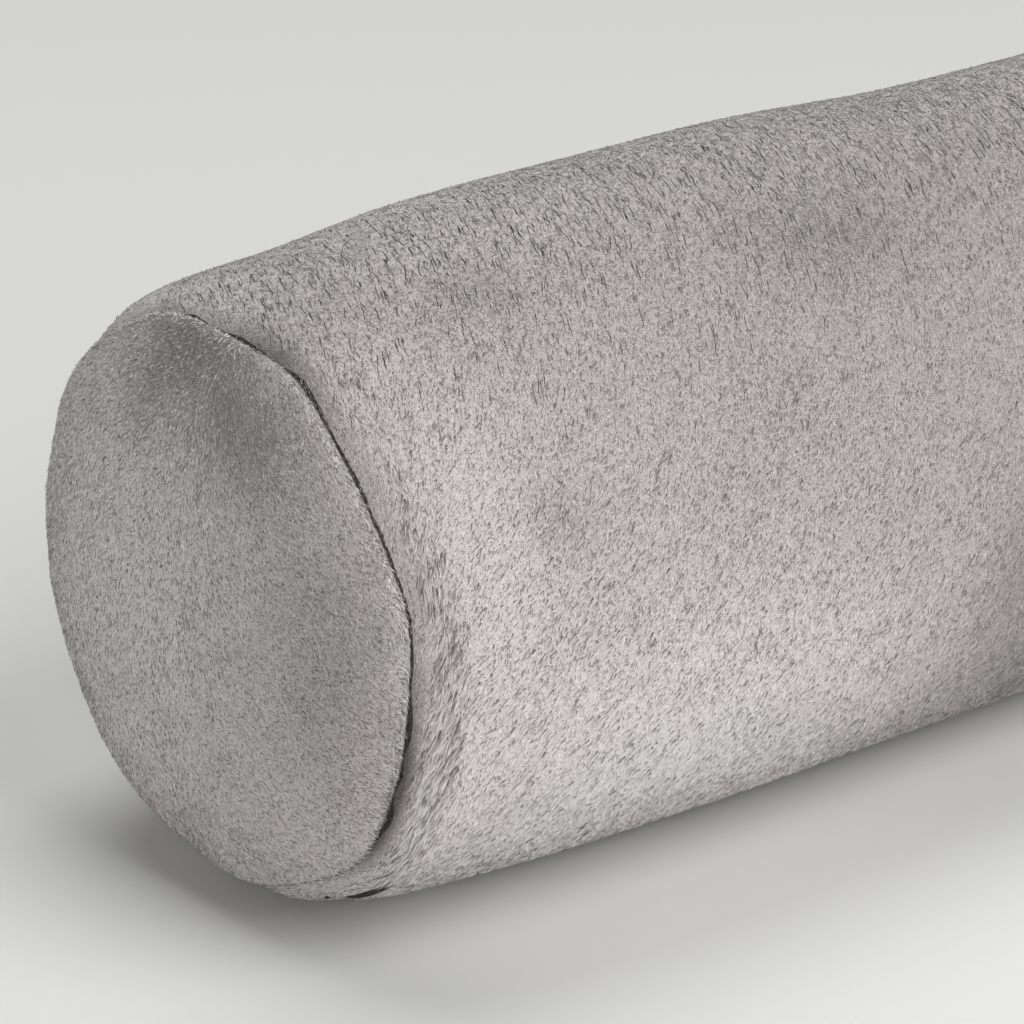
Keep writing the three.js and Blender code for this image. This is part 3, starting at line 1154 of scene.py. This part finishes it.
def panel_pile(points, normals, side, name, material):
    """An end panel's pile lies downwards, fanning out to its edge."""
    steps = np.linalg.norm(np.diff(points, axis=0), axis=-1).mean(1)
    length = np.concatenate([[0], np.cumsum(steps)])
    radius = np.linalg.norm(from_axis(points), axis=-1).mean(1)
    place, turn = panel_sown(length, radius, PILE_PITCH / math.sqrt(PANEL_SHARE[side]))
    row = np.interp(place, length, np.arange(len(length)))
    column = turn * points.shape[1]
    roots, up, lay = sampled(points, normals, panel_lay(points), row, column)
    angle = column / points.shape[1] * 360
    edge = length[-1] - place
    rim = bell(edge / RIM_REACH) * blended(RIM_LEAST, round_bell(angle, RIM_ANGLE, RIM_SPAN))
    # A painted highlight on the rim's lip near the top
    lip = bell((edge - LIP_PLACE) / LIP_REACH) * ridge(angle, *LIP_HIGHLIGHT)
    size = tuft_size(PANEL_SHARE[side])
    made = pile_for(
        roots, up, lay, SEED + 95,
        tone=panel_tone(roots, side) + lip,
        parted=PANEL_PARTED * partings(roots, SEED + 71),
        lean=PILE_LEAN + PANEL_LEAN - RIM_RISE * rim,
        length=PILE_LENGTH * size * (1 + RIM_LENGTH * rim),
        width=PILE_WIDTH * size,
        grain=PANEL_GRAIN[side],
    )
    place_pile(name, made, material)


# Seams

HEM = 4.0 * MM
SHADOW_LIFT = 0.03 * MM
# Steps round a seam and across its strip, then along the mouth and across it
SEAM_STEPS = (721, 5)
MOUTH_STEPS = (27, 7)
# How wide the painted shade at the near seam's bottom is: everywhere, and more in ridges
NEAR_GAPE_MM = 0.33
NEAR_RIDGES_MM = ((0.35, WIDE_ANGLE, WIDE_SPAN), (0.25, 105, 25), (0.25, 250, 14), (0.15, 72, 20))
FAR_GAPE_MM = 0.4
# How uneven it is: strength, degrees from bump to bump, least and most
UNEVEN = 0.22
UNEVEN_TURN = 9.0
UNEVEN_LIMITS = (0.5, 1.6)


def hemmed(points, first, last):
    """The grid with its end rows turned in towards the axis, as a hem inside the seam."""
    def turned_in(row):
        return row - unit(from_axis(row)) * HEM
    parts = [points]
    if first:
        parts.insert(0, turned_in(points[:1]))
    if last:
        parts.append(turned_in(points[-1:]))
    return np.concatenate(parts)


def strip_mesh(name, spots):
    rows, columns = spots.shape[:2]
    index = np.arange(rows * columns).reshape(rows, columns)
    quads = np.stack([index[:-1, :-1], index[1:, :-1], index[1:, 1:], index[:-1, 1:]], -1)
    mesh = bpy.data.meshes.new(name)
    mesh.from_pydata(spots.reshape(-1, 3).tolist(), [], quads.reshape(-1, 4).tolist())
    mesh.update()
    return mesh


def shadow_strip(name, body, place, angle, material):
    """A strip of painted shade on the body at these places and angles, just over its ground."""
    points, normals, _ = body
    row, column = grid_place(body, place.ravel(), angle.ravel())
    spots = bilinear(points, row, column) + unit(bilinear(normals, row, column)) * SHADOW_LIFT
    place_piece(name, strip_mesh(name, spots.reshape(*place.shape, 3)), material)


def seam_strips(body, material):
    """Painted shade at the bottom of both end seams, and in the fold that stands open under the near
    one.
    """
    at = body[2]
    steps = np.linspace(0, 360, SEAM_STEPS[0]), np.linspace(0, 1, SEAM_STEPS[1])
    angle, share = np.meshgrid(*steps, indexing="ij")
    gape = NEAR_GAPE_MM + sum(ridge(angle, *values) for values in NEAR_RIDGES_MM)
    along = np.stack([angle, 0 * angle, 0 * angle], -1)
    uneven = 1 + UNEVEN * waves(along, UNEVEN_TURN, SEED + 40)
    reach = gape * np.clip(uneven, *UNEVEN_LIMITS) * MM
    shadow_strip("seam_near", body, at[0] + share * reach, angle, material)
    shadow_strip("seam_far", body, at[-1] - share * FAR_GAPE_MM * MM, angle, material)
    steps = np.linspace(MOUTH_ENDS[0], MOUTH_ENDS[2], MOUTH_STEPS[0]), np.linspace(-1, 1, MOUTH_STEPS[1])
    angle, across = np.meshgrid(*steps, indexing="ij")
    place = MOUTH_PLACE + across * MOUTH_HALF * mouth_share(angle)
    shadow_strip("seam_mouth", body, place, angle, material)


# Stage

FLOOR_REACH = 6.0
FLOOR_FINISH = {"Base Color": (0.81, 0.815, 0.80, 1), "Roughness": 0.9}
SKY = {"Color": (0.96, 0.98, 1.0, 1), "Strength": 0.05}
LIGHT_REACH = 1.8
# Lights: turn from the front towards the far end, height angle, width and power
LIGHTS = {
    "key": (12, 42, 1.5, 21.0),
    "fill": (-45, 12, 1.0, 12.5),
    "back": (178, 75, 1.2, 14.0),
    "rim": (176, 14, 0.9, 4.5),
    "far": (95, 16, 1.0, 6.0),
}


def make_stage():
    mesh = bpy.data.meshes.new("floor")
    reach = FLOOR_REACH
    corners = [(-reach, -reach, 0), (reach, -reach, 0), (reach, reach, 0), (-reach, reach, 0)]
    mesh.from_pydata(corners, [], [(0, 1, 2, 3)])
    floor = bpy.data.objects.new("floor", mesh)
    bpy.context.scene.collection.objects.link(floor)
    material, _, shader = new_material("pale_floor")
    set_inputs(shader, FLOOR_FINISH)
    mesh.materials.append(material)


def outward_way(turn, rise):
    """The way out from the roll, by a turn from the front towards the far end and a height angle."""
    turn, rise = math.radians(turn), math.radians(rise)
    return Vector((math.sin(turn) * math.cos(rise), -math.cos(turn) * math.cos(rise), math.sin(rise)))


def aimed(name, data, way, place):
    """A light or camera at a place, looking against a way."""
    piece = bpy.data.objects.new(name, data)
    piece.location = place
    piece.rotation_mode = "QUATERNION"
    piece.rotation_quaternion = (-way).to_track_quat("-Z", "Y")
    bpy.context.scene.collection.objects.link(piece)
    return piece


def area_light(name, turn, rise, size, power):
    """A round soft light on a dome over the roll, aimed at it and out of sight."""
    data = bpy.data.lights.new(name, "AREA")
    data.shape = "DISK"
    data.size = size
    data.energy = power
    way = outward_way(turn, rise)
    lamp = aimed(name, data, way, way * LIGHT_REACH + Vector((0, 0, AXIS_Z)))
    lamp.visible_camera = False


def make_light():
    scene = bpy.context.scene
    scene.view_settings.view_transform = "Standard"
    world = bpy.data.worlds.new("studio")
    world.use_nodes = True
    set_inputs(world.node_tree.nodes["Background"], SKY)
    scene.world = world
    for name, values in LIGHTS.items():
        area_light(name, *values)


def make_camera():
    data = bpy.data.cameras.new("camera")
    data.lens = CAMERA_LENS_MM
    data.sensor_width = SENSOR_MM
    data.clip_start = CAMERA_CLIP_START
    way = outward_way(CAMERA_AZIMUTH, CAMERA_ELEVATION)
    bpy.context.scene.camera = aimed("camera", data, way, CAMERA_PLACE)


def build_body(ground, pile, seam_shading):
    body = body_cover()
    points, _, at = body
    seam_strips(body, seam_shading)
    mesh = grid_mesh("cover_body", hemmed(points, True, True), True)
    place = np.concatenate([at[:1], at, at[-1:]])[:, None]
    set_tone(mesh, body_tone(place, round_angles(ROUND)[None, :]))
    cover = place_piece("cover_body", mesh, ground)
    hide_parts("body_roll")
    body_pile(body, pile)
    strand_pile(body, pile)
    crack_pile(body, pile)
    furrow_pile(body, pile)


def build_panel(node, side, ground, pile):
    points, normals = panel_cover(node, side)
    grid = hemmed(points, False, True)
    mesh = grid_mesh("cover_" + node, grid, side < 0, True)
    set_tone(mesh, panel_tone(grid.reshape(-1, 3), side))
    cover = place_piece("cover_" + node, mesh, ground)
    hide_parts(node)
    panel_pile(points, normals, side, "pile_" + node, pile)


def build():
    ground, pile, seam_shading = cloth_material(), pile_material(), seam_shade_material()
    build_body(ground, pile, seam_shading)
    build_panel("end_panel_near", -1, ground, pile)
    build_panel("end_panel_far", 1, ground, pile)


make_camera()
make_light()
make_stage()
build()
